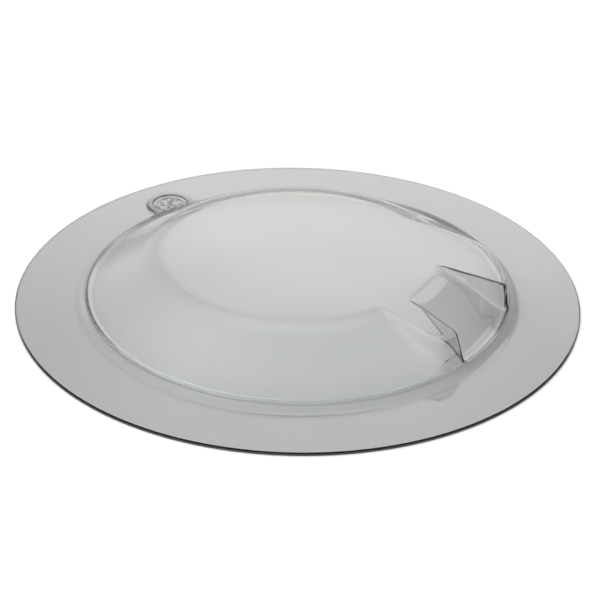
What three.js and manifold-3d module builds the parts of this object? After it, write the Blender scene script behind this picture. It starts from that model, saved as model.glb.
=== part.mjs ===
// Roof vent cover: a clear moulded disc with a flat flange, a ring step and a low crown. A finger pocket
// is let into the edge of the crown under a raised hood, and a small turn-dial breather sits in a boss on
// the flange.
// Millimetres, +Z up. The origin is on the axis of the cover, on the plane that the flange rests on.
// -Y is the front, and the finger pocket opens to the right and a little to the front.

import * as THREE from 'three';
import Module from 'manifold-3d';

const wasm = await Module();
wasm.setup();

// ---- Driving dimensions ------------------------------------------------------------------------

const COVER_RADIUS = 200;
const SHEET = 2;
const GAP = 0.3;
const rad = THREE.MathUtils.degToRad;

const RIM_BAND = { width: 0.6, height: SHEET };
const SHELL_RADIUS = COVER_RADIUS - RIM_BAND.width - GAP;

// The ring step drops from its shoulder to a ledge, and from there an apron slopes down to the flange.
const STEP = { radius: 150, height: 8.3, ledge: [150.8, 4.8], apronFoot: 157 };

// The crown's top is a shallow bowl turned over. Its edge is a circle set back from the cover's axis.
const CROWN = { height: 30.4, bow: 1.4, edgeRadius: 103, edgeSetBack: 12, rows: [0, 32, 60] };

// The hood carries the top of the crown out to the ring step on both sides of the finger pocket.
// Its edge swings out and back again, given as [azimuth, radius].
const HOOD = { edge: [[-46, 140], [-12, 147.4], [37, 128.2]], nearEnd: [-58, -46], farEnd: [6, 37] };

// The finger pocket is a ramp between two steep side walls. Each wall is a straight line seen from above.
const POCKET = {
  axis: rad(-29.2),
  rampStart: 98,
  rampFoot: 143,
  mouthRadius: 147.5,
  draft: 1.2,
  nearWall: { from: [77.8, -53], to: [110.4, -97.8], outward: -1 },
  farWall: { from: [103.2, -7.6], to: [142.4, -27.6], outward: 1 },
};

const FLANGE_ROW = 168;

const COLUMNS = { outside: 54, pocket: 7 };

// How far from each corner of the section its rounding starts.
const REACH = { crown: 10, hood: 3.5, ramp: 3, foot: 2.2, shoulder: 1.6, ledge: 0.75, apron: 3 };

// The breather boss is an arch seen from above, with its straight end against the ring step.
const BOSS = {
  distance: 165,
  azimuth: rad(127),
  radius: 17.6,
  top: 3.5,
  recess: { radius: 13.5, floor: 2.4 },
  groove: { inner: 10.9, outer: 12.5, floor: 1.8 },
  hollow: { radius: 10.2, ceiling: 1.6 },
};

const DIAL = {
  radius: 12.8,
  low: 2.75,
  high: 3.55,
  holes: 4,
  holeRadius: 1.5,
  holeCircle: 7,
  pointer: { azimuth: rad(218), tip: 11.6, length: 3, width: 2.6, depth: 0.4 },
};

// What holds the dial down, from the top: the rivet's head, then the spring washer and the push nut under
// the boss.
const RIVET = { shankRadius: 1.1, headRadius: 1.9, headLow: 3.8, headHigh: 4.6, bottom: 0.35 };
const WASHER = { outer: 3.4, low: 1.02, high: 1.32 };
const NUT = { outer: 3.4, low: 0.42, high: 0.72 };
const SCREEN = { inner: 3.9, outer: 9.9, low: 1.02, high: 1.3 };
const SCREEN_RING = { inner: 8.9, outer: 9.9, low: 0.3, high: 0.72 };

// A slim D-shaped bead in the corner under the ring step.
const SEAL = { inner: 145.2, outer: 147.8, low: 4, chamfer: 0.8 };

const ROUND = 48;

// ---- Materials ---------------------------------------------------------------------------------

function material(color, roughness, opacity = 1) {
  return new THREE.MeshStandardMaterial({
    color,
    roughness,
    metalness: 0,
    transparent: opacity < 1,
    opacity,
  });
}

const smokedClear = material('#c3c7c6', 0.06, 0.35);
const edgeBlack = material('#26211f', 0.5);
const softClear = material('#c9cccb', 0.3, 0.5);
const meshGrey = material('#8f9392', 0.6);

// ---- Solids ------------------------------------------------------------------------------------

function solidFrom(positions, triangles) {
  const mesh = new wasm.Mesh({
    numProp: 3,
    vertProperties: Float32Array.from(positions),
    triVerts: Uint32Array.from(triangles),
  });
  return new wasm.Manifold(mesh);
}

function geometryFrom(solid) {
  const mesh = solid.getMesh();
  const geometry = new THREE.BufferGeometry();
  geometry.setAttribute('position', new THREE.BufferAttribute(Float32Array.from(mesh.vertProperties), 3));
  geometry.setIndex(new THREE.BufferAttribute(Uint32Array.from(mesh.triVerts), 1));
  return geometry;
}

// A body of revolution about Z. The outline is a closed loop of [radius, height] points, anticlockwise.
function turned(outline, segments = ROUND) {
  const positions = [];
  const triangles = [];
  const count = outline.length;
  for (let s = 0; s < segments; s += 1) {
    const angle = (2 * Math.PI * s) / segments;
    outline.forEach(([r, z]) => positions.push(r * Math.cos(angle), r * Math.sin(angle), z));
  }
  for (let s = 0; s < segments; s += 1) {
    const here = s * count;
    const next = ((s + 1) % segments) * count;
    for (let k = 0; k < count; k += 1) {
      const after = (k + 1) % count;
      triangles.push(here + k, next + k, next + after, here + k, next + after, here + after);
    }
  }
  return solidFrom(positions, triangles);
}

function ring(inner, outer, low, high, segments = ROUND) {
  return turned([[inner, low], [outer, low], [outer, high], [inner, high]], segments);
}

// A straight prism between two heights. The outline is anticlockwise [x, y] points.
function prism(outline, low, high) {
  const count = outline.length;
  const positions = [];
  const triangles = [];
  [low, high].forEach((z) => outline.forEach(([x, y]) => positions.push(x, y, z)));
  const caps = THREE.ShapeUtils.triangulateShape(outline.map(([x, y]) => new THREE.Vector2(x, y)), []);
  caps.forEach(([a, b, c]) => triangles.push(a, c, b, count + a, count + b, count + c));
  for (let k = 0; k < count; k += 1) {
    const after = (k + 1) % count;
    triangles.push(k, after, count + after, k, count + after, count + k);
  }
  return solidFrom(positions, triangles);
}

function disc(radius, low, high, centre = [0, 0], segments = ROUND) {
  const outline = [];
  for (let k = 0; k < segments; k += 1) {
    const angle = (2 * Math.PI * k) / segments;
    outline.push([centre[0] + radius * Math.cos(angle), centre[1] + radius * Math.sin(angle)]);
  }
  return prism(outline, low, high);
}

// ---- The section of the shell ------------------------------------------------------------------

function smooth(from, to, value) {
  return THREE.MathUtils.smoothstep(value, from, to);
}

// Points on a rounded corner between two straight runs; reach is how far from the corner the rounding starts.
function corner(before, at, after, reach, points) {
  const start = new THREE.Vector2(before[0], before[1]).sub(new THREE.Vector2(...at)).setLength(reach);
  const end = new THREE.Vector2(after[0], after[1]).sub(new THREE.Vector2(...at)).setLength(reach);
  const curve = new THREE.QuadraticBezierCurve(
    start.add(new THREE.Vector2(...at)),
    new THREE.Vector2(...at),
    end.add(new THREE.Vector2(...at)),
  );
  return curve.getPoints(points - 1).map((p) => [p.x, p.y]);
}

function crownTop(radius) {
  return CROWN.height - CROWN.bow * (radius / 100) ** 2;
}

// The outer face from the axis to the rim, as [radius, height]. Without a foot of its own the crown runs
// straight to the step.
function section(edgeRadius, edgeReach, footRadius) {
  const inward = [edgeRadius - 20, crownTop(edgeRadius - 20)];
  const edge = [edgeRadius, crownTop(edgeRadius)];
  const shoulder = [STEP.radius, STEP.height];
  const partWay = [(edge[0] + 3 * shoulder[0]) / 4, (edge[1] + 3 * shoulder[1]) / 4];
  const foot = footRadius ? [footRadius, STEP.height] : partWay;
  const apronFoot = [STEP.apronFoot, SHEET];
  const rim = [SHELL_RADIUS, SHEET];
  return [
    ...CROWN.rows.map((radius) => [radius, crownTop(radius)]),
    ...corner(inward, edge, foot, edgeReach, 3),
    ...corner(edge, foot, shoulder, footRadius ? REACH.foot : 0.1, 3),
    ...corner(foot, shoulder, STEP.ledge, REACH.shoulder, 4),
    ...corner(shoulder, STEP.ledge, apronFoot, REACH.ledge, 2),
    ...corner(STEP.ledge, apronFoot, rim, REACH.apron, 3),
    [FLANGE_ROW, SHEET],
    rim,
  ];
}

// The same section moved inward by the sheet's thickness, square to itself.
function offset(points, distance) {
  return points.map(([r, z], k) => {
    const before = points[Math.max(k - 1, 0)];
    const after = points[Math.min(k + 1, points.length - 1)];
    const along = new THREE.Vector2(after[0] - before[0], after[1] - before[1]).normalize();
    const onAxis = k === 0;
    const level = k === 0 || k >= points.length - 2;
    const across = level ? new THREE.Vector2(0, 1) : new THREE.Vector2(-along.y, along.x);
    return [onAxis ? 0 : r - across.x * distance, z - across.y * distance];
  });
}

function crownEdge(azimuth) {
  const side = CROWN.edgeSetBack * Math.cos(azimuth);
  const toward = CROWN.edgeSetBack * Math.sin(azimuth);
  return toward + Math.sqrt(CROWN.edgeRadius ** 2 - side ** 2);
}

function hoodEdge(degrees) {
  const [near, middle, far] = HOOD.edge;
  const [from, to] = degrees < middle[0] ? [near, middle] : [middle, far];
  const share = THREE.MathUtils.clamp((degrees - from[0]) / (to[0] - from[0]), 0, 1);
  return THREE.MathUtils.lerp(from[1], to[1], share);
}

function outsideSection(azimuth) {
  const degrees = THREE.MathUtils.euclideanModulo(THREE.MathUtils.radToDeg(azimuth) + 180, 360) - 180;
  const near = smooth(HOOD.nearEnd[0], HOOD.nearEnd[1], degrees);
  const far = 1 - smooth(HOOD.farEnd[0], HOOD.farEnd[1], degrees);
  const hood = near * far;
  const edge = THREE.MathUtils.lerp(crownEdge(azimuth), hoodEdge(degrees), hood);
  return section(edge, THREE.MathUtils.lerp(REACH.crown, REACH.hood, hood));
}

function pocketSection(azimuth) {
  const start = POCKET.rampStart / Math.cos(azimuth - POCKET.axis);
  return section(start, REACH.ramp, POCKET.rampFoot);
}

// ---- The shell ---------------------------------------------------------------------------------

// Azimuth at which a side wall of the pocket, moved outward by shift, crosses the circle of the given radius.
function wallAzimuth(wall, shift, radius) {
  const from = new THREE.Vector2(...wall.from);
  const along = new THREE.Vector2(...wall.to).sub(from).normalize();
  const outward = new THREE.Vector2(-along.y, along.x).multiplyScalar(wall.outward);
  const reach = THREE.MathUtils.clamp(radius, from.length(), POCKET.mouthRadius);
  const start = from.addScaledVector(outward, shift);
  const half = start.dot(along);
  const run = -half + Math.sqrt(Math.max(half ** 2 - start.lengthSq() + reach ** 2, 0));
  const point = start.addScaledVector(along, run);
  return Math.atan2(point.y, point.x);
}

// Each column of the shell has a section and an azimuth that may change with the radius.
function shellColumns(thickness) {
  const farTop = (r) => wallAzimuth(POCKET.farWall, thickness, r);
  const farLow = (r) => wallAzimuth(POCKET.farWall, thickness - POCKET.draft, r);
  const nearTop = (r) => wallAzimuth(POCKET.nearWall, thickness, r);
  const nearLow = (r) => wallAzimuth(POCKET.nearWall, thickness - POCKET.draft, r);
  const columns = [];
  for (let k = 0; k <= COLUMNS.outside; k += 1) {
    const share = k / COLUMNS.outside;
    const azimuth = (r) => THREE.MathUtils.lerp(farTop(r), nearTop(r) + 2 * Math.PI, share);
    columns.push({ azimuth, points: outsideSection(azimuth(POCKET.mouthRadius)) });
  }
  for (let k = 0; k <= COLUMNS.pocket; k += 1) {
    const share = k / COLUMNS.pocket;
    const azimuth = (r) => THREE.MathUtils.lerp(nearLow(r), farLow(r), share);
    columns.push({ azimuth, points: pocketSection(azimuth(POCKET.rampStart)) });
  }
  return columns;
}

// One face of the shell as rows of [x, y, z], from the axis outward.
function shellFace(thickness) {
  return shellColumns(thickness).map(({ azimuth, points }) => {
    const moved = thickness > 0 ? offset(points, thickness) : points;
    return moved.map(([r, z]) => {
      const angle = azimuth(r);
      return [r * Math.cos(angle), r * Math.sin(angle), z];
    });
  });
}

function shellSheet() {
  const faces = [shellFace(0), shellFace(SHEET)];
  const columns = faces[0].length;
  const rows = faces[0][0].length - 1;
  const positions = [];
  const triangles = [];
  faces.forEach((face) => {
    positions.push(...face[0][0]);
    face.forEach((column) => column.slice(1).forEach((point) => positions.push(...point)));
  });
  const perFace = 1 + columns * rows;
  const place = (column, row) => (row === 0 ? 0 : 1 + (column % columns) * rows + row - 1);
  const index = (face, column, row) => face * perFace + place(column, row);
  const quad = (a, b, c, d) => triangles.push(a, b, c, a, c, d);
  for (let c = 0; c < columns; c += 1) {
    triangles.push(index(0, c, 0), index(0, c, 1), index(0, c + 1, 1));
    triangles.push(index(1, c, 0), index(1, c + 1, 1), index(1, c, 1));
    for (let r = 1; r < rows; r += 1) {
      quad(index(0, c, r), index(0, c, r + 1), index(0, c + 1, r + 1), index(0, c + 1, r));
      quad(index(1, c, r), index(1, c + 1, r), index(1, c + 1, r + 1), index(1, c, r + 1));
    }
    quad(index(0, c, rows), index(1, c, rows), index(1, c + 1, rows), index(0, c + 1, rows));
  }
  return solidFrom(positions, triangles);
}

// ---- The breather boss -------------------------------------------------------------------------

// Places something made about the origin at the centre of the boss, with +X pointing away from the
// cover's axis.
function atBoss(solid) {
  return solid.translate([BOSS.distance, 0, 0]).rotate([0, 0, THREE.MathUtils.radToDeg(BOSS.azimuth)]);
}

function arch(radius, straightEnd, low, high) {
  const outline = [[straightEnd, radius], [straightEnd, -radius]];
  const steps = 24;
  for (let k = 0; k <= steps; k += 1) {
    const angle = -Math.PI / 2 + (Math.PI * k) / steps;
    outline.push([radius * Math.cos(angle), radius * Math.sin(angle)]);
  }
  return prism(outline, low, high);
}

function ventHoles(radius, low, high, turn) {
  const holes = [];
  for (let k = 0; k < DIAL.holes; k += 1) {
    const angle = turn + (2 * Math.PI * k) / DIAL.holes;
    const centre = [DIAL.holeCircle * Math.cos(angle), DIAL.holeCircle * Math.sin(angle)];
    holes.push(disc(radius, low, high, centre, 16));
  }
  return wasm.Manifold.union(holes);
}

function coverShell() {
  const stepFace = STEP.radius - BOSS.distance;
  const { recess, groove, hollow } = BOSS;
  const cuts = [
    disc(recess.radius, recess.floor, STEP.ledge[1] + 1),
    ring(groove.inner, groove.outer, groove.floor, BOSS.top),
    disc(hollow.radius, -1, hollow.ceiling),
    disc(RIVET.shankRadius + GAP, -1, BOSS.top),
    ventHoles(DIAL.holeRadius, -1, BOSS.top, Math.PI / DIAL.holes),
  ];
  const boss = atBoss(arch(BOSS.radius, stepFace, SHEET / 2, BOSS.top));
  return shellSheet().add(boss).subtract(atBoss(wasm.Manifold.union(cuts)));
}

// ---- The pieces of the breather, made about the boss's centre ----------------------------------

function breatherDial() {
  const { radius, low, high } = DIAL;
  const bevel = 0.3;
  const hub = RIVET.shankRadius + GAP;
  const rim = [[radius, low], [radius, high - bevel], [radius - bevel, high]];
  const body = turned([[hub, low], ...rim, [hub, high]]);
  const { tip, length, width, depth, azimuth } = DIAL.pointer;
  const arrow = [[tip, 0], [tip - length, width / 2], [tip - length, -width / 2]];
  const notch = prism(arrow, high - depth, high + 1);
  const turn = THREE.MathUtils.radToDeg(azimuth - BOSS.azimuth);
  return body.subtract(ventHoles(DIAL.holeRadius, low - 1, high + 1, 0)).subtract(notch.rotate([0, 0, turn]));
}

function dialGasket() {
  const { inner, outer, floor } = BOSS.groove;
  return ring(inner + GAP, outer - GAP, floor + GAP, DIAL.low - GAP);
}

function dialRivet() {
  const { shankRadius, headRadius, headLow, headHigh, bottom } = RIVET;
  const head = (headLow + headHigh) / 2;
  const outline = [[0, bottom], [shankRadius, bottom], [shankRadius, headLow], [headRadius, headLow]];
  const dome = [[headRadius, head], [headRadius * 0.6, headHigh - 0.1], [0, headHigh]];
  return new THREE.LatheGeometry(outline.concat(dome).map(([r, z]) => new THREE.Vector2(r, z)), 24);
}

function springWasher() {
  return ring(RIVET.shankRadius + GAP, WASHER.outer, WASHER.low, WASHER.high, 24);
}

function pushNut() {
  return ring(RIVET.shankRadius + GAP, NUT.outer, NUT.low, NUT.high, 24);
}

function insectScreen() {
  return ring(SCREEN.inner, SCREEN.outer, SCREEN.low, SCREEN.high);
}

function screenRing() {
  return ring(SCREEN_RING.inner, SCREEN_RING.outer, SCREEN_RING.low, SCREEN_RING.high);
}

// ---- The rings ---------------------------------------------------------------------------------

const RING_SEGMENTS = 90;

function rimBand() {
  const inner = COVER_RADIUS - RIM_BAND.width;
  return ring(inner, COVER_RADIUS, 0, RIM_BAND.height, RING_SEGMENTS);
}

function roofSeal() {
  const { inner, outer, low, chamfer } = SEAL;
  const high = STEP.height - SHEET - GAP;
  const innerSide = [[inner, high], [inner, low + chamfer], [inner + chamfer, low]];
  const outerSide = [[outer - chamfer, low], [outer, low + chamfer], [outer - chamfer, high]];
  return turned([...innerSide, ...outerSide], RING_SEGMENTS);
}

// ---- The assembly ------------------------------------------------------------------------------

const cover = new THREE.Group();

function add(name, shape, look, parent) {
  const geometry = shape.isBufferGeometry ? shape : geometryFrom(shape);
  const mesh = new THREE.Mesh(geometry, look);
  mesh.name = name;
  parent.add(mesh);
  return mesh;
}

add('cover_shell', coverShell(), smokedClear, cover);
add('rim_band', rimBand(), edgeBlack, cover);
add('roof_seal', roofSeal(), softClear, cover);

const breather = new THREE.Group();
breather.position.set(BOSS.distance * Math.cos(BOSS.azimuth), BOSS.distance * Math.sin(BOSS.azimuth), 0);
breather.rotation.z = BOSS.azimuth;
cover.add(breather);

add('breather_dial', breatherDial(), smokedClear, breather);
add('dial_gasket', dialGasket(), softClear, breather);
const rivet = add('dial_rivet', dialRivet(), smokedClear, breather);
rivet.rotation.x = Math.PI / 2;
add('spring_washer', springWasher(), smokedClear, breather);
add('push_nut', pushNut(), smokedClear, breather);
add('insect_screen', insectScreen(), meshGrey, breather);
add('screen_ring', screenRing(), smokedClear, breather);

export default cover;
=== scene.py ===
"""Looks of a clear moulded roof vent cover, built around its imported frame.

Millimetres in this script's own constants, metres in Blender. -Y is the front and +Z is up.
"""

import math

import bpy
import numpy as np
from mathutils import Euler, Matrix, Vector


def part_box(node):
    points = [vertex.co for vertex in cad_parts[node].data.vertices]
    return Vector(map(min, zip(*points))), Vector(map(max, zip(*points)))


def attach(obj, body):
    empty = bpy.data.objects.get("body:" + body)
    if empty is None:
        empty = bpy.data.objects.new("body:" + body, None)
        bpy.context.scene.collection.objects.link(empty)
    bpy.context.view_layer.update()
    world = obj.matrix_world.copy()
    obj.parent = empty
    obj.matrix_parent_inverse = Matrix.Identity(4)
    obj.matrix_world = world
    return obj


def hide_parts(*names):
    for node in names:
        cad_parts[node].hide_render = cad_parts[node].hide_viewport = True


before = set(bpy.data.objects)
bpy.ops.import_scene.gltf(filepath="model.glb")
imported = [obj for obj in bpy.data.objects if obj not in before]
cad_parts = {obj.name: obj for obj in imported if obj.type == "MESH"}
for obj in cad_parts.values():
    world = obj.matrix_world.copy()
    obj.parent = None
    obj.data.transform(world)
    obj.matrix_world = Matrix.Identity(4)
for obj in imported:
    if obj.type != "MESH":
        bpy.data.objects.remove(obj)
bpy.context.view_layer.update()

# ---- Driving dimensions -----------------------------------------------------------------------------------

MM = 0.001
RIM_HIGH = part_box("rim_band")[1] / MM
COVER_RADIUS = RIM_HIGH.x
SHEET = RIM_HIGH.z
BAND_WIDTH = 0.6
BAND_SHY = 1  # how far the band stops below the flange's upper face
GAP = 0.3
SHELL_RADIUS = COVER_RADIUS - BAND_WIDTH - GAP
CROWN_SHEET = 1.75  # the sheet thins where it is drawn up into the crown
WALL_SHEET = 1.1  # and thins most in the steep walls of the pocket

STEP_RADIUS = 150
STEP_HEIGHT = 8.3
LEDGE = (150.8, 4.8)
APRON_FOOT = 155
# How far from each corner of the step its rounding starts.
FOOT_REACH = 2.2
SHOULDER_REACH = 0.8
LEDGE_REACH = 0.5
APRON_REACH = 3.2

SEAL_INNER = 145.2
SEAL_OUTER = 147.8
SEAL_LOW = 4

CROWN_HEIGHT = 30.4
CROWN_BOW = 1.4
CROWN_EDGE = 103
CROWN_SET_BACK = 12
CROWN_REACH = 10

HOOD_EDGES = {"azimuth": (-46, -12, 37), "radius": (140, 147.4, 128.2)}
HOOD_REACH = 3
HOOD_NEAR_END = (-58, -46)
HOOD_FAR_END = (6, 37)

POCKET_AXIS = math.radians(-29.2)
RAMP_START = 98
RAMP_FOOT = 143
RAMP_REACH = 8
MOUTH_RADIUS = 147.5
# Each wall's fillet and spread change along it, given as (radius from the cover's axis, size) at its start
# and at its end.
NEAR_WALL = {
    "start": (77.8, -53), "end": (110.4, -97.8), "outward": -1,
    "fillet": ((94, 2.6), (143, 2.6)), "spread": ((94, 5), (143, 5)),
}
FAR_WALL = {
    "start": (103.2, -7.6), "end": (142.4, -27.6), "outward": 1,
    "fillet": ((104, 26), (124, 2.6)), "spread": ((110, 12), (130, 5)),
}
WALL_ROUND = 1.4
WALL_LEAN = math.radians(87)

OUTSIDE_COLUMNS = 420
WALL_COLUMNS = 44
POCKET_COLUMNS = 60

BOSS_AZIMUTH = math.radians(127)
BOSS_DISTANCE = 165
BOSS_CENTRE = (BOSS_DISTANCE * math.cos(BOSS_AZIMUTH), BOSS_DISTANCE * math.sin(BOSS_AZIMUTH), 0)
BOSS_RADIUS = 17.6
BOSS_END = 15
BOSS_TOP = 3.5
RECESS_RADIUS = 13.5
RECESS_FLOOR = 2.4
BOSS_FLARE = 0.8
BOSS_FLARE_SPREAD = 2.4
BOSS_ROUND = 0.6
BOSS_ROUND_SPREAD = 2
RECESS_LIP = 0.7
RECESS_ROUND = 0.3
BOSS_SEGMENTS = 192
GROOVE = (10.9, 12.5, 1.8)
HOLLOW_RADIUS = 10.2
HOLLOW_CEILING = 1.6
HOLE_CIRCLE = 7
HOLE_RADIUS = 1.5
HOLE_COUNT = 4
SHANK_RADIUS = 1.1


# ---- Meshes -----------------------------------------------------------------------------------------------


def mesh_object(name, points, faces, sharp_angle=35):
    """A smooth-shaded mesh from points in millimetres."""
    mesh = bpy.data.meshes.new(name)
    mesh.from_pydata((np.asarray(points, float) * MM).tolist(), [], faces)
    mesh.validate()
    mesh.shade_smooth()
    mesh.set_sharp_from_angle(angle=math.radians(sharp_angle))
    piece = bpy.data.objects.new(name, mesh)
    bpy.context.scene.collection.objects.link(piece)
    return piece


def place(piece, material, slot, body, *nodes):
    """Finishes a piece: its material, and what the frame needs to know of it."""
    piece.data.materials.clear()
    piece.data.materials.append(material)
    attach(piece, body)
    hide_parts(*nodes)
    return piece


def loft(rings, closed_loop=False):
    """Points and faces of a skin through rings of equal length, capped unless the rings close up."""
    count = len(rings[0])
    points = np.concatenate(rings)
    faces = []
    spans = len(rings) if closed_loop else len(rings) - 1
    for ring in range(spans):
        here = ring * count
        after = ((ring + 1) % len(rings)) * count
        for k in range(count):
            step = (k + 1) % count
            faces.append((here + k, here + step, after + step, after + k))
    if not closed_loop:
        last = (len(rings) - 1) * count
        faces.append(tuple(reversed(range(count))))
        faces.append(tuple(last + k for k in range(count)))
    return points, faces


def turned(name, outline, segments=128, radius_change=None, sharp_angle=35):
    """A ring turned about Z. The outline is a closed loop of (radius, height), anticlockwise."""
    angles = np.linspace(0, 2 * math.pi, segments, endpoint=False)
    change = radius_change(angles) if radius_change else np.zeros(segments)
    rings = []
    for radius, height in outline:
        reach = radius + change
        rings.append(np.stack([reach * np.cos(angles), reach * np.sin(angles), np.full(segments, height)], 1))
    points, faces = loft(rings, closed_loop=True)
    return mesh_object(name, points, faces, sharp_angle)


def ring_outline(inner, outer, low, high, round_by, steps=5):
    """The section of a ring with rounded corners, anticlockwise."""
    centres = [
        ((inner + round_by, high - round_by), 180),
        ((outer - round_by, high - round_by), 90),
        ((outer - round_by, low + round_by), 0),
        ((inner + round_by, low + round_by), -90),
    ]
    outline = []
    for (radius, height), start in centres:
        for k in range(steps):
            angle = math.radians(start - 90 * k / (steps - 1))
            outline.append((radius + round_by * math.cos(angle), height + round_by * math.sin(angle)))
    return outline[::-1]


def boolean(piece, cutter, operation):
    """Joins or cuts piece with cutter, which is then removed."""
    modifier = piece.modifiers.new("boolean", "BOOLEAN")
    modifier.operation = operation
    modifier.solver = "MANIFOLD"
    modifier.object = cutter
    depsgraph = bpy.context.evaluated_depsgraph_get()
    result = bpy.data.meshes.new_from_object(piece.evaluated_get(depsgraph))
    piece.modifiers.clear()
    old = piece.data
    piece.data = result
    bpy.data.meshes.remove(old)
    bpy.data.objects.remove(cutter)


def prism(name, outline, low, high):
    flat = np.asarray(outline, float)
    rings = [np.column_stack([flat, np.full(len(flat), height)]) for height in (low, high)]
    points, faces = loft(rings)
    return mesh_object(name, points, faces)


def circle(radius, centre=(0, 0), segments=64):
    angles = np.linspace(0, 2 * math.pi, segments, endpoint=False)
    return np.stack([centre[0] + radius * np.cos(angles), centre[1] + radius * np.sin(angles)], 1)


# ---- The section of the shell -----------------------------------------------------------------------------


def smooth_step(low, high, value):
    share = np.clip((value - low) / (high - low), 0, 1)
    return share * share * (3 - 2 * share)


def mix(a, b, share):
    return a + (b - a) * share


def corner(before, at, after, reach, count):
    """Points on a rounded corner; reach is how far from the corner the rounding starts."""
    before, at, after = (np.array(p, float) for p in (before, at, after))
    start = at + (before - at) * reach / np.linalg.norm(before - at)
    end = at + (after - at) * reach / np.linalg.norm(after - at)
    share = np.linspace(0, 1, count)[:, None]
    return (1 - share) ** 2 * start + 2 * share * (1 - share) * at + share**2 * end


def crown_top(radius):
    return CROWN_HEIGHT - CROWN_BOW * (radius / 100) ** 2


def section(edge_radius, edge_reach, foot_radius=None):
    """The outer face from the axis to the rim, as (radius, height), with a level foot if one is given."""
    inner = np.linspace(0, edge_radius - edge_reach - 1, 12)
    crown = np.stack([inner, crown_top(inner)], 1)
    inward = (edge_radius - 20, crown_top(edge_radius - 20))
    edge = (edge_radius, crown_top(edge_radius))
    shoulder = (STEP_RADIUS, STEP_HEIGHT)
    if foot_radius is None:
        return np.concatenate([crown, corner(inward, edge, shoulder, edge_reach, 25), ring_step(edge)])
    foot = (foot_radius, STEP_HEIGHT)
    return np.concatenate([
        crown,
        corner(inward, edge, foot, edge_reach, 25),
        corner(edge, foot, shoulder, FOOT_REACH, 9),
        ring_step(foot),
    ])


def ring_step(before):
    """The rounded step down from the crown, the sloping apron below it and the flange."""
    shoulder = (STEP_RADIUS, STEP_HEIGHT)
    apron_foot = (APRON_FOOT, SHEET)
    rim = (SHELL_RADIUS, SHEET)
    flange = np.linspace(APRON_FOOT + 6, SHELL_RADIUS, 12)
    return np.concatenate([
        corner(before, shoulder, LEDGE, SHOULDER_REACH, 13),
        corner(shoulder, LEDGE, apron_foot, LEDGE_REACH, 7),
        corner(LEDGE, apron_foot, rim, APRON_REACH, 13),
        np.stack([flange, np.full(len(flange), SHEET)], 1),
    ])


def shell_rows():
    """Radii of the shell's rows: close together wherever some column has a bend."""
    return np.concatenate([
        np.linspace(0, 80, 11),
        np.arange(81, 136, 0.8),
        np.arange(136, STEP_RADIUS - SHOULDER_REACH, 0.5),
        ring_step((RAMP_FOOT, STEP_HEIGHT))[:, 0],
    ])


def crown_edge(azimuth):
    side = CROWN_SET_BACK * math.cos(azimuth)
    toward = CROWN_SET_BACK * math.sin(azimuth)
    return toward + math.sqrt(CROWN_EDGE**2 - side**2)


def outside_height(azimuth, rows):
    degrees = (math.degrees(azimuth) + 180) % 360 - 180
    hood = smooth_step(*HOOD_NEAR_END, degrees) * (1 - smooth_step(*HOOD_FAR_END, degrees))
    hood_edge = np.interp(degrees, HOOD_EDGES["azimuth"], HOOD_EDGES["radius"])
    edge = mix(crown_edge(azimuth), hood_edge, hood)
    line = section(edge, mix(CROWN_REACH, HOOD_REACH, hood))
    return np.interp(rows, line[:, 0], line[:, 1])


def pocket_height(azimuth, rows):
    line = section(RAMP_START / math.cos(azimuth - POCKET_AXIS), RAMP_REACH, RAMP_FOOT)
    return np.interp(rows, line[:, 0], line[:, 1])


# ---- The shell --------------------------------------------------------------------------------------------


def wall_azimuth(wall, shift, rows):
    """Azimuths at which a side wall, moved outward by shift, crosses circles of the rows' radii."""
    start = np.array(wall["start"], float)
    along = np.array(wall["end"], float) - start
    along /= np.linalg.norm(along)
    outward = np.array([-along[1], along[0]]) * wall["outward"]
    reach = np.clip(rows, np.linalg.norm(start), MOUTH_RADIUS)
    moved = start + outward * np.broadcast_to(shift, rows.shape)[:, None]
    half = moved @ along
    run = -half + np.sqrt(np.maximum(half**2 - (moved**2).sum(1) + reach**2, 0))
    point = moved + along * run[:, None]
    return np.arctan2(point[:, 1], point[:, 0])


def along_wall(change, rows):
    """A size that changes between two radii, row by row."""
    (start, first), (end, last) = change
    return mix(first, last, smooth_step(start, end, rows))


def wall_line(drop, fillet, width):
    """Evenly spaced points across a wall of that height, as (distance in, depth) from its top."""
    full = 1 - math.cos(WALL_LEAN)
    scooped = min(drop / 2, fillet * full)
    steep = drop - scooped
    top_round = min(WALL_ROUND, steep / full)
    straight = (steep - top_round * full) / math.sin(WALL_LEAN)
    angles = np.linspace(0, WALL_LEAN, 24)
    top = top_round * np.stack([np.sin(angles), 1 - np.cos(angles)], 1)
    low_start = top[-1] + straight * np.array([math.cos(WALL_LEAN), math.sin(WALL_LEAN)])
    meeting = math.acos(1 - scooped / fillet)
    back = np.linspace(meeting, 0, 24)
    scoop = np.stack([math.sin(meeting) - np.sin(back), np.cos(back) - math.cos(meeting)], 1)
    low = low_start + fillet * scoop
    line = np.concatenate([top, low, [[width, drop]]])
    run = np.concatenate([[0], np.cumsum(np.linalg.norm(np.diff(line, axis=0), axis=1))])
    even = np.linspace(0, run[-1], WALL_COLUMNS + 1)
    return np.stack([np.interp(even, run, line[:, 0]), np.interp(even, run, line[:, 1])], 1)


def wall_columns(wall, top_height, low_height, rows):
    """Columns of (azimuths, heights) across one wall, from its top to the pocket's floor."""
    drops = np.maximum(top_height - low_height, 0)
    fillets = along_wall(wall["fillet"], rows)
    widths = WALL_ROUND + along_wall(wall["spread"], rows)
    lines = np.array([wall_line(*values) for values in zip(drops, fillets, widths)])
    columns = []
    for k in range(WALL_COLUMNS + 1):
        azimuths = wall_azimuth(wall, WALL_ROUND - lines[:, k, 0], rows)
        columns.append((azimuths, top_height - lines[:, k, 1]))
    return columns


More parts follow.
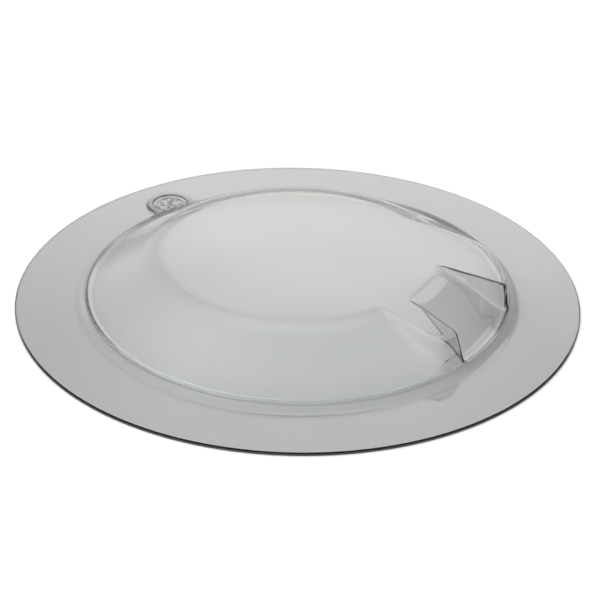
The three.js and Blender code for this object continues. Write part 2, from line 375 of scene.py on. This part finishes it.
def shell_columns(rows):
    """All columns of the outer face, anticlockwise, each as (azimuths, heights) along its rows."""
    far_top = wall_azimuth(FAR_WALL, WALL_ROUND, rows)
    near_top = wall_azimuth(NEAR_WALL, WALL_ROUND, rows) + 2 * math.pi
    far_low = wall_azimuth(FAR_WALL, -along_wall(FAR_WALL["spread"], rows), rows)
    near_low = wall_azimuth(NEAR_WALL, -along_wall(NEAR_WALL["spread"], rows), rows)
    outside = []
    for share in np.linspace(0, 1, OUTSIDE_COLUMNS + 1):
        azimuths = mix(far_top, near_top, share)
        outside.append((azimuths, outside_height(azimuths[-1], rows)))
    pocket = []
    ramp_row = np.searchsorted(rows, RAMP_START)
    for share in np.linspace(0, 1, POCKET_COLUMNS + 1):
        azimuths = mix(near_low, far_low, share)
        pocket.append((azimuths, pocket_height(azimuths[ramp_row], rows)))
    near = wall_columns(NEAR_WALL, outside[-1][1], pocket[0][1], rows)
    far = wall_columns(FAR_WALL, outside[0][1], pocket[-1][1], rows)
    return outside + near[1:-1] + pocket + far[-2:0:-1]


def grid_normals(grid):
    """Unit normals of a grid of points whose columns go round."""
    around = np.roll(grid, -1, 0) - np.roll(grid, 1, 0)
    outward = np.gradient(grid, axis=1)
    normals = np.cross(outward, around)
    normals[:, 0] = (0, 0, 1)
    return normals / np.linalg.norm(normals, axis=2, keepdims=True)


def shell_sheet():
    """The closed sheet of the shell, without the breather's boss."""
    rows = shell_rows()
    columns = shell_columns(rows)
    azimuths = np.array([c[0] for c in columns])
    heights = np.array([c[1] for c in columns])
    top = np.stack([rows * np.cos(azimuths), rows * np.sin(azimuths), heights], 2)
    normals = grid_normals(top)
    drawn = mix(CROWN_SHEET, SHEET, smooth_step(STEP_RADIUS - 20, STEP_RADIUS, rows))[None, :]
    steep = smooth_step(0.5, 1, np.linalg.norm(normals[:, :, :2], axis=2)) * (rows < STEP_RADIUS - 3)
    under = top - normals * mix(drawn, WALL_SHEET, steep)[:, :, None]
    under[:, -1, :2] = top[:, -1, :2]
    return sheet_from_faces(top, under)


def sheet_from_faces(top, under):
    count, rows = top.shape[:2]
    per_face = 1 + count * (rows - 1)
    points = np.concatenate([
        top[0, :1], top[:, 1:].reshape(-1, 3), under[0, :1], under[:, 1:].reshape(-1, 3),
    ])

    def index(face, column, row):
        inside = 0 if row == 0 else 1 + (column % count) * (rows - 1) + row - 1
        return face * per_face + inside

    faces = []
    for c in range(count):
        faces.append((index(0, c, 0), index(0, c, 1), index(0, c + 1, 1)))
        faces.append((index(1, c, 0), index(1, c + 1, 1), index(1, c, 1)))
        for r in range(1, rows - 1):
            faces.append((index(0, c, r), index(0, c, r + 1), index(0, c + 1, r + 1), index(0, c + 1, r)))
            faces.append((index(1, c, r), index(1, c + 1, r), index(1, c + 1, r + 1), index(1, c, r + 1)))
        last = rows - 1
        faces.append((index(0, c, last), index(1, c, last), index(1, c + 1, last), index(0, c + 1, last)))
    return mesh_object("clear_shell", points, faces, 40)


# ---- The breather boss ------------------------------------------------------------------------------------


def to_boss(piece):
    """Carries something made about the origin to the boss, with +X pointing away from the cover's axis."""
    turn = Matrix.Rotation(BOSS_AZIMUTH, 4, "Z")
    piece.data.transform(Matrix.Translation(Vector(BOSS_CENTRE) * MM) @ turn)
    return piece


def arch(radius, end, segments=BOSS_SEGMENTS):
    """The boss seen from above: a half circle outward, and straight sides back to a straight end."""
    angles = np.linspace(0, 2 * math.pi, segments, endpoint=False)
    side = radius / np.maximum(np.abs(np.sin(angles)), 1e-6)
    back = end / np.maximum(-np.cos(angles), 1e-6)
    inner = np.where(np.cos(angles) < 0, (side**-10 + back**-10) ** -0.1, radius)
    reach = np.where(np.cos(angles) < 0, np.minimum(inner, np.hypot(radius, end)), radius)
    return np.stack([reach * np.cos(angles), reach * np.sin(angles)], 1)


def level_ring(outline, height):
    return np.column_stack([outline, np.full(len(outline), height)])


def boss_solid():
    """The raised arch with a rounded top, and the recess in it with a rounded lip."""
    quarter = np.linspace(0, math.pi / 2, 7)
    foot = BOSS_FLARE_SPREAD * BOSS_FLARE
    rings = [level_ring(arch(BOSS_RADIUS + foot, BOSS_END + foot), SHEET / 2)]
    for angle in quarter:
        out = foot * (1 - math.sin(angle))
        height = SHEET + BOSS_FLARE * (1 - math.cos(angle))
        rings.append(level_ring(arch(BOSS_RADIUS + out, BOSS_END + out), height))
    for angle in quarter:
        out = BOSS_ROUND_SPREAD * BOSS_ROUND * (math.cos(angle) - 1)
        height = BOSS_TOP - BOSS_ROUND * (1 - math.sin(angle))
        rings.append(level_ring(arch(BOSS_RADIUS + out, BOSS_END + out), height))
    for angle in quarter:
        reach = RECESS_RADIUS + RECESS_LIP * (1 - math.sin(angle))
        height = BOSS_TOP - RECESS_LIP * (1 - math.cos(angle))
        rings.append(level_ring(circle(reach, segments=BOSS_SEGMENTS), height))
    for angle in quarter:
        reach = RECESS_RADIUS - RECESS_ROUND * (1 - math.cos(angle))
        height = RECESS_FLOOR + RECESS_ROUND * (1 - math.sin(angle))
        rings.append(level_ring(circle(reach, segments=BOSS_SEGMENTS), height))
    points, faces = loft(rings)
    return to_boss(mesh_object("boss", points, faces))


def vent_holes(turn, low, high):
    for k in range(HOLE_COUNT):
        angle = turn + 2 * math.pi * k / HOLE_COUNT
        centre = (HOLE_CIRCLE * math.cos(angle), HOLE_CIRCLE * math.sin(angle))
        yield prism("hole", circle(HOLE_RADIUS, centre, 48), low, high)


def recess_cutter():
    """Clears the recess of the foot of the ring step, just short of the recess's own surface."""
    clear = 0.01
    round_by = RECESS_ROUND + 2 * clear
    part_way = 0.2
    outline = (
        (RECESS_RADIUS - round_by, RECESS_FLOOR + clear),
        (RECESS_RADIUS - clear, RECESS_FLOOR + round_by),
        (RECESS_RADIUS - clear, BOSS_TOP - RECESS_LIP),
        (RECESS_RADIUS + part_way - clear, BOSS_TOP - part_way + clear),
        (RECESS_RADIUS + RECESS_LIP, BOSS_TOP + clear),
        (RECESS_RADIUS + RECESS_LIP, STEP_HEIGHT),
    )
    rings = [level_ring(circle(reach, segments=BOSS_SEGMENTS), height) for reach, height in outline]
    points, faces = loft(rings)
    return to_boss(mesh_object("recess", points, faces))


def clear_shell():
    shell = shell_sheet()
    boolean(shell, boss_solid(), "UNION")
    boolean(shell, recess_cutter(), "DIFFERENCE")
    inner, outer, floor_height = GROOVE
    above = STEP_HEIGHT + 0.7
    groove = turned("groove", [(inner, floor_height), (outer, floor_height), (outer, above), (inner, above)])
    boolean(shell, to_boss(groove), "DIFFERENCE")
    boolean(shell, to_boss(prism("hollow", circle(HOLLOW_RADIUS), -1, HOLLOW_CEILING)), "DIFFERENCE")
    boolean(shell, to_boss(prism("bore", circle(SHANK_RADIUS + GAP), -1, BOSS_TOP)), "DIFFERENCE")
    for hole in vent_holes(math.pi / HOLE_COUNT, -1, BOSS_TOP):
        boolean(shell, to_boss(hole), "DIFFERENCE")
    shell.data.shade_smooth()
    shell.data.set_sharp_from_angle(angle=math.radians(40))
    even = shell.modifiers.new("even_shading", "WEIGHTED_NORMAL")
    even.keep_sharp = True
    return shell


# ---- The pieces of the breather ---------------------------------------------------------------------------

DIAL_RADIUS = 12.8
DIAL_LOW = 2.75
DIAL_HIGH = 3.55
DIAL_ROUND = 0.36
POINTER_TIP = 11.6
POINTER_LENGTH = 3
POINTER_HALF_WIDTH = 1.3
POINTER_DEPTH = 0.4
POINTER_TURN = math.radians(218) - BOSS_AZIMUTH


def vent_dial():
    hub = SHANK_RADIUS + GAP
    dial = turned("vent_dial", ring_outline(hub, DIAL_RADIUS, DIAL_LOW, DIAL_HIGH, DIAL_ROUND), 192)
    for hole in vent_holes(0, DIAL_LOW - 1, DIAL_HIGH + 1):
        boolean(dial, hole, "DIFFERENCE")
    base = POINTER_TIP - POINTER_LENGTH
    arrow = [(POINTER_TIP, 0), (base, POINTER_HALF_WIDTH), (base, -POINTER_HALF_WIDTH)]
    notch = prism("pointer", arrow, DIAL_HIGH - POINTER_DEPTH, DIAL_HIGH + 1)
    notch.data.transform(Matrix.Rotation(POINTER_TURN, 4, "Z"))
    boolean(dial, notch, "DIFFERENCE")
    dial.data.shade_smooth()
    dial.data.set_sharp_from_angle(angle=math.radians(40))
    return to_boss(dial)


def gasket_ring():
    inner, outer, floor_height = GROOVE
    outline = ring_outline(inner + GAP, outer - GAP, floor_height + GAP, DIAL_LOW - GAP, 0.15)
    return to_boss(turned("gasket_ring", outline, 128))


def rivet_pin():
    """A plain clear pin with a low domed head."""
    bottom, head_low, head_high, head_radius, side = 0.35, 3.8, 4.6, 1.9, 0.2
    core = 0.02
    outline = [(core, bottom), (SHANK_RADIUS, bottom), (SHANK_RADIUS, head_low), (head_radius, head_low)]
    for angle in np.linspace(0, math.pi / 2, 9):
        reach = core + (head_radius - core) * math.cos(angle)
        outline.append((reach, head_low + side + (head_high - head_low - side) * math.sin(angle)))
    return to_boss(turned("rivet_pin", outline, 64))


def wave_washer():
    """A thin ring with three shallow waves, which holds the dial down on its gasket."""
    washer = turned("wave_washer", ring_outline(SHANK_RADIUS + GAP, 3.4, 1.08, 1.26, 0.07), 96)
    for vertex in washer.data.vertices:
        angle = math.atan2(vertex.co.y, vertex.co.x)
        vertex.co.z += 0.05 * MM * math.sin(3 * angle)
    return to_boss(washer)


def push_nut():
    """A thin ring with six teeth that bite on the pin."""
    nut = turned("push_nut_ring", ring_outline(SHANK_RADIUS + GAP, 3.4, 0.42, 0.72, 0.08), 96)
    for k in range(6):
        slot = prism("slot", [(1, -0.2), (2.5, -0.2), (2.5, 0.2), (1, 0.2)], 0, 1)
        slot.data.transform(Matrix.Rotation(2 * math.pi * k / 6, 4, "Z"))
        boolean(nut, slot, "DIFFERENCE")
    return to_boss(nut)


def woven_screen():
    """Wires over and under each other, cut to the round of the screen."""
    pitch, wire, outer, inner, level = 0.7, 0.1, 9.8, 3.9, 1.16
    points, faces = [], []
    half = int(outer / pitch)
    for direction in (0, 1):
        for line in range(-half, half + 1):
            across = line * pitch
            reach = math.sqrt(max(outer**2 - across**2, 0))
            for start, end in runs_outside(across, reach, inner):
                along = np.arange(start, end, pitch / 6)
                if len(along) < 4:
                    continue
                phase = line + direction
                wave = level + wire * 0.5 * np.sin(math.pi * along / pitch) * (-1) ** phase
                path = np.stack([along, np.full(len(along), across), wave], 1)
                if direction:
                    path = path[:, [1, 0, 2]]
                add_wire(points, faces, path, wire / 2, direction)
    return to_boss(mesh_object("woven_screen", points, faces, 60))


def runs_outside(across, reach, inner):
    """The stretches of a straight wire that miss the hole in the screen's middle."""
    if abs(across) >= inner:
        return [(-reach, reach)]
    hole = math.sqrt(inner**2 - across**2)
    return [(-reach, -hole), (hole, reach)]


def add_wire(points, faces, path, radius, direction, sides=6):
    first = len(points)
    for centre in path:
        for k in range(sides):
            angle = 2 * math.pi * k / sides
            side = radius * math.cos(angle)
            offset = (side, 0, radius * math.sin(angle)) if direction else (0, side, radius * math.sin(angle))
            points.append(tuple(centre + np.array(offset)))
    last = first + (len(path) - 1) * sides
    for ring in range(len(path) - 1):
        for k in range(sides):
            here = first + ring * sides
            after = here + sides
            faces.append((here + k, here + (k + 1) % sides, after + (k + 1) % sides, after + k))
    faces.append(tuple(first + k for k in range(sides)))
    faces.append(tuple(last + k for k in reversed(range(sides))))


def screen_clamp():
    return to_boss(turned("screen_clamp", ring_outline(8.9, 9.9, 0.3, 0.72, 0.12), 128))


# ---- The rings --------------------------------------------------------------------------------------------


def edge_band():
    """The dark band round the rim, with one small nick on the right."""

    def nick(angles):
        centre = math.radians(3)
        return -0.45 * np.exp(-(((angles - centre) / 0.006) ** 2))

    inner = COVER_RADIUS - BAND_WIDTH
    outline = ring_outline(inner, COVER_RADIUS, 0, SHEET - BAND_SHY, 0.2)
    return turned("edge_band", outline, 900, nick, 60)


def seal_cord():
    """A slim clear bead in the corner under the ring step."""
    outline = ring_outline(SEAL_INNER, SEAL_OUTER, SEAL_LOW, STEP_HEIGHT - SHEET - GAP, 0.8, 7)
    return turned("seal_cord", outline, 480, None, 60)


# ---- Materials --------------------------------------------------------------------------------------------


class Nodes:
    """The nodes of a material or a world, made and linked with short calls."""

    def __init__(self, owner, output="ShaderNodeOutputMaterial"):
        owner.use_nodes = True
        self.owner = owner
        self.tree = owner.node_tree
        self.tree.nodes.clear()
        self.output = self.add(output)

    def add(self, kind, values=None, **settings):
        node = self.tree.nodes.new(kind)
        for key, value in settings.items():
            setattr(node, key, value)
        for key, value in (values or {}).items():
            socket = node.inputs[key]
            if isinstance(value, bpy.types.NodeSocket):
                self.tree.links.new(value, socket)
            else:
                socket.default_value = value
        return node

    def place_texture(self, kind, values):
        place_at = self.add("ShaderNodeTexCoord").outputs["Object"]
        return self.add(kind, {"Vector": place_at, **values})

    def ramp(self, value, stops):
        node = self.add("ShaderNodeValToRGB", {"Fac": value})
        elements = node.color_ramp.elements
        while len(elements) < len(stops):
            elements.new(0.5)
        for element, (at, colour) in zip(elements, stops):
            element.position = at
            element.color = (*colour, 1)
        return node.outputs["Color"]

    def range(self, value, low, high):
        return self.add("ShaderNodeMapRange", {"Value": value, "To Min": low, "To Max": high}).outputs[0]

    def background(self, colour, strength):
        return self.add("ShaderNodeBackground", {"Color": colour, "Strength": strength})

    def sum(self, first, second):
        both = self.add("ShaderNodeAddShader")
        self.tree.links.new(first.outputs[0], both.inputs[0])
        self.tree.links.new(second.outputs[0], both.inputs[1])
        return both

    def lit_through(self, shader, light, rays):
        """The shader, but plain see-through to the rays that only carry light."""
        clear = self.add("ShaderNodeBsdfTransparent", {"Color": (light, light, light, 1)})
        path = self.add("ShaderNodeLightPath")
        for ray in rays:
            shader = self.add("ShaderNodeMixShader", {
                0: path.outputs[ray], 1: shader.outputs[0], 2: clear.outputs[0],
            })
        return shader

    def surface(self, shader):
        self.tree.links.new(shader.outputs[0], self.output.inputs["Surface"])

    def volume(self, shader):
        self.tree.links.new(shader.outputs[0], self.output.inputs["Volume"])


def clear_plastic(name, tint, absorb, density, roughness, ior=1.49):
    """Clear moulded plastic: faint flow waves, fine rub marks, and a tint that grows with thickness."""
    nodes = Nodes(bpy.data.materials.new(name))
    flow = nodes.place_texture("ShaderNodeTexNoise", {"Scale": 14, "Detail": 2, "Roughness": 0.4})
    rubs = nodes.place_texture("ShaderNodeTexNoise", {"Scale": 900, "Detail": 3, "Distortion": 1.5})
    haze = nodes.place_texture("ShaderNodeTexNoise", {"Scale": 35, "Detail": 6, "Roughness": 0.65})
    waves = nodes.add("ShaderNodeBump", {"Strength": 0.06, "Distance": 0.0006, "Height": flow.outputs[0]})
    fine = nodes.add("ShaderNodeBump", {
        "Strength": 0.002, "Distance": 0.00003, "Height": rubs.outputs[0], "Normal": waves.outputs[0],
    })
    shader = nodes.add("ShaderNodeBsdfPrincipled", {
        "Base Color": (*tint, 1),
        "Roughness": nodes.range(haze.outputs[0], roughness * 0.4, roughness * 1.8),
        "IOR": ior,
        "Transmission Weight": 1,
        "Normal": fine.outputs[0],
    })
    nodes.surface(nodes.lit_through(shader, 0.86, ("Is Shadow Ray", "Is Diffuse Ray")))
    nodes.volume(nodes.add("ShaderNodeVolumeAbsorption", {"Color": (*absorb, 1), "Density": density}))
    return nodes.owner


def dark_band():
    nodes = Nodes(bpy.data.materials.new("edge_band"))
    mottle = nodes.place_texture("ShaderNodeTexNoise", {"Scale": 160, "Detail": 4})
    grain = nodes.place_texture("ShaderNodeTexNoise", {"Scale": 2200, "Detail": 2})
    colour = nodes.ramp(mottle.outputs[0], [(0.3, (0.012, 0.010, 0.009)), (0.75, (0.035, 0.028, 0.024))])
    bump = nodes.add("ShaderNodeBump", {"Strength": 0.2, "Distance": 0.0001, "Height": grain.outputs[0]})
    nodes.surface(nodes.add("ShaderNodeBsdfPrincipled", {
        "Base Color": colour,
        "Roughness": nodes.range(mottle.outputs[0], 0.38, 0.6),
        "Normal": bump.outputs[0],
    }))
    return nodes.owner


def clear_silicone():
    nodes = Nodes(bpy.data.materials.new("clear_silicone"))
    bloom = nodes.place_texture("ShaderNodeTexNoise", {"Scale": 120, "Detail": 4})
    grain = nodes.place_texture("ShaderNodeTexNoise", {"Scale": 1500, "Detail": 2})
    bump = nodes.add("ShaderNodeBump", {"Strength": 0.15, "Distance": 0.0001, "Height": grain.outputs[0]})
    shader = nodes.add("ShaderNodeBsdfPrincipled", {
        "Base Color": nodes.ramp(bloom.outputs[0], [(0.2, (0.86, 0.87, 0.87)), (0.8, (0.95, 0.95, 0.95))]),
        "Roughness": nodes.range(bloom.outputs[0], 0.25, 0.45),
        "IOR": 1.41,
        "Transmission Weight": 0.9,
        "Normal": bump.outputs[0],
    })
    nodes.surface(nodes.lit_through(shader, 0.9, ("Is Shadow Ray",)))
    return nodes.owner


def screen_wire():
    nodes = Nodes(bpy.data.materials.new("screen_mesh"))
    dull = nodes.place_texture("ShaderNodeTexNoise", {"Scale": 700, "Detail": 3})
    nodes.surface(nodes.add("ShaderNodeBsdfPrincipled", {
        "Base Color": nodes.ramp(dull.outputs[0], [(0.3, (0.72, 0.73, 0.73)), (0.7, (0.85, 0.86, 0.86))]),
        "Transmission Weight": 0.6,
        "Roughness": nodes.range(dull.outputs[0], 0.3, 0.5),
    }))
    return nodes.owner


# ---- Stage, light and camera ------------------------------------------------------------------------------


def floor():
    half, level = 6000, -0.3
    corners = [(-half, -half, level), (half, -half, level), (half, half, level), (-half, half, level)]
    plane = mesh_object("floor", corners, [(0, 1, 2, 3)])
    nodes = Nodes(bpy.data.materials.new("floor"))
    nodes.surface(nodes.add("ShaderNodeBsdfPrincipled", {
        "Base Color": (0.5, 0.5, 0.5, 1), "Roughness": 0.9, "Specular IOR Level": 0,
    }))
    plane.data.materials.append(nodes.owner)


# Each entry of a lighting ramp is (where, colour); "where" runs from 0 to 1.
SIDES_STRENGTH = 2.2
SIDES = [
    (0.00, (1.00, 1.00, 1.00)),
    (0.22, (0.91, 0.91, 0.91)),
    (0.50, (0.52, 0.52, 0.52)),
    (0.75, (0.34, 0.34, 0.34)),
    (1.00, (0.30, 0.30, 0.30)),
]
OVERHEAD_STRENGTH = 1.7
OVERHEAD = [
    (0.52, (0.00, 0.00, 0.00)),
    (0.66, (0.28, 0.29, 0.29)),
    (0.86, (0.95, 1.02, 1.00)),
    (1.00, (0.95, 1.02, 1.00)),
]
HORIZON_BRIGHTNESS = 0.9
HORIZON = [(0.08, (0, 0, 0)), (0.26, (1, 1, 1))]
# Each glow is (strength, azimuth, elevation, half width, half height, its ramp outward from the centre).
GLOWS = [
    (1.5, 3, 26.5, 17, 9.4, [
        (0.00, (1.00, 0.980, 0.935)),
        (0.36, (0.97, 0.950, 0.905)),
        (0.52, (0.66, 0.650, 0.625)),
        (0.80, (0.19, 0.188, 0.185)),
        (1.00, (0.00, 0.000, 0.000)),
    ]),
    (0.6, 0, 34, 8, 5, [(0.0, (0.95, 1.02, 0.99)), (0.5, (0.90, 0.95, 0.93)), (1.0, (0, 0, 0))]),
    (0.7, 0, 50, 14, 16, [(0.0, (0.95, 1, 1)), (0.6, (0.8, 0.84, 0.84)), (1.0, (0, 0, 0))]),
    (1.2, 22, 38, 12, 4.5, [(0.0, (1, 1, 1)), (0.8, (0.95, 0.95, 0.95)), (1.0, (0, 0, 0))]),
]


def studio_world():
    """A soft room: brighter on the left and overhead, with low glows behind the cover."""
    world = bpy.data.worlds.new("studio")
    bpy.context.scene.world = world
    nodes = Nodes(world, "ShaderNodeOutputWorld")
    direction = nodes.add("ShaderNodeTexCoord").outputs["Generated"]
    axes = nodes.add("ShaderNodeSeparateXYZ", {0: direction})
    across = nodes.add("ShaderNodeMapRange", {"Value": axes.outputs["X"], "From Min": -1}).outputs[0]
    horizon = nodes.background((1, 1, 1, 1), HORIZON_BRIGHTNESS)
    sides = nodes.background(nodes.ramp(across, SIDES), SIDES_STRENGTH)
    room = nodes.add("ShaderNodeMixShader", {
        0: nodes.ramp(axes.outputs["Z"], HORIZON), 1: horizon.outputs[0], 2: sides.outputs[0],
    })
    overhead = nodes.background(nodes.ramp(axes.outputs["Z"], OVERHEAD), OVERHEAD_STRENGTH)
    room = nodes.sum(room, overhead)
    for strength, azimuth, elevation, half_width, half_height, stops in GLOWS:
        centred = nodes.add("ShaderNodeMapping", {
            "Vector": direction,
            "Rotation": (math.radians(elevation), 0, -math.radians(azimuth)),
            "Scale": (math.radians(half_width), 1000, math.radians(half_height)),
        }, vector_type="TEXTURE")
        distance = nodes.add("ShaderNodeVectorMath", {0: centred.outputs[0]}, operation="LENGTH")
        room = nodes.sum(room, nodes.background(nodes.ramp(distance.outputs["Value"], stops), strength))
    nodes.surface(room)


CAMERA_DISTANCE = 1.4
CAMERA_ELEVATION = math.radians(30.2)
CAMERA_ROLL = math.radians(0.92)
CAMERA_PITCH = math.radians(-0.146)
CAMERA_YAW = math.radians(-0.064)
CAMERA_LENS = 117.8


def camera():
    data = bpy.data.cameras.new("camera")
    data.lens = CAMERA_LENS
    data.sensor_width = 36
    data.clip_start, data.clip_end = 0.05, 50
    piece = bpy.data.objects.new("camera", data)
    bpy.context.scene.collection.objects.link(piece)
    piece.location = (
        0,
        -CAMERA_DISTANCE * math.cos(CAMERA_ELEVATION),
        CAMERA_DISTANCE * math.sin(CAMERA_ELEVATION),
    )
    aim = Euler((math.pi / 2 - CAMERA_ELEVATION, 0, 0)).to_matrix()
    turn = Euler((CAMERA_PITCH, CAMERA_YAW, 0)).to_matrix()
    roll = Matrix.Rotation(CAMERA_ROLL, 3, "Z")
    piece.rotation_euler = (aim @ turn @ roll).to_euler()
    bpy.context.scene.camera = piece


# ---- The whole scene --------------------------------------------------------------------------------------

smoked = clear_plastic("smoked_clear", (0.97, 0.97, 0.968), (0.5, 0.503, 0.498), 330, 0.03)
dial_plastic = clear_plastic("dial_clear", (0.97, 0.97, 0.97), (0.5, 0.503, 0.498), 330, 0.04, 1.2)
silicone = clear_silicone()
wire = screen_wire()

place(clear_shell(), smoked, "smoked_clear", "cover", "cover_shell")
place(edge_band(), dark_band(), "edge_band", "cover", "rim_band")
place(seal_cord(), silicone, "clear_silicone", "cover", "roof_seal")
place(vent_dial(), dial_plastic, "dial_clear", "dial", "breather_dial")
place(gasket_ring(), silicone, "clear_silicone", "cover", "dial_gasket")
place(rivet_pin(), dial_plastic, "dial_clear", "cover", "dial_rivet")
place(wave_washer(), dial_plastic, "dial_clear", "cover", "spring_washer")
place(push_nut(), dial_plastic, "dial_clear", "cover", "push_nut")
place(woven_screen(), wire, "screen_mesh", "cover", "insect_screen")
place(screen_clamp(), dial_plastic, "dial_clear", "cover", "screen_ring")

floor()
studio_world()
bpy.context.scene.view_settings.view_transform = "Standard"
camera()
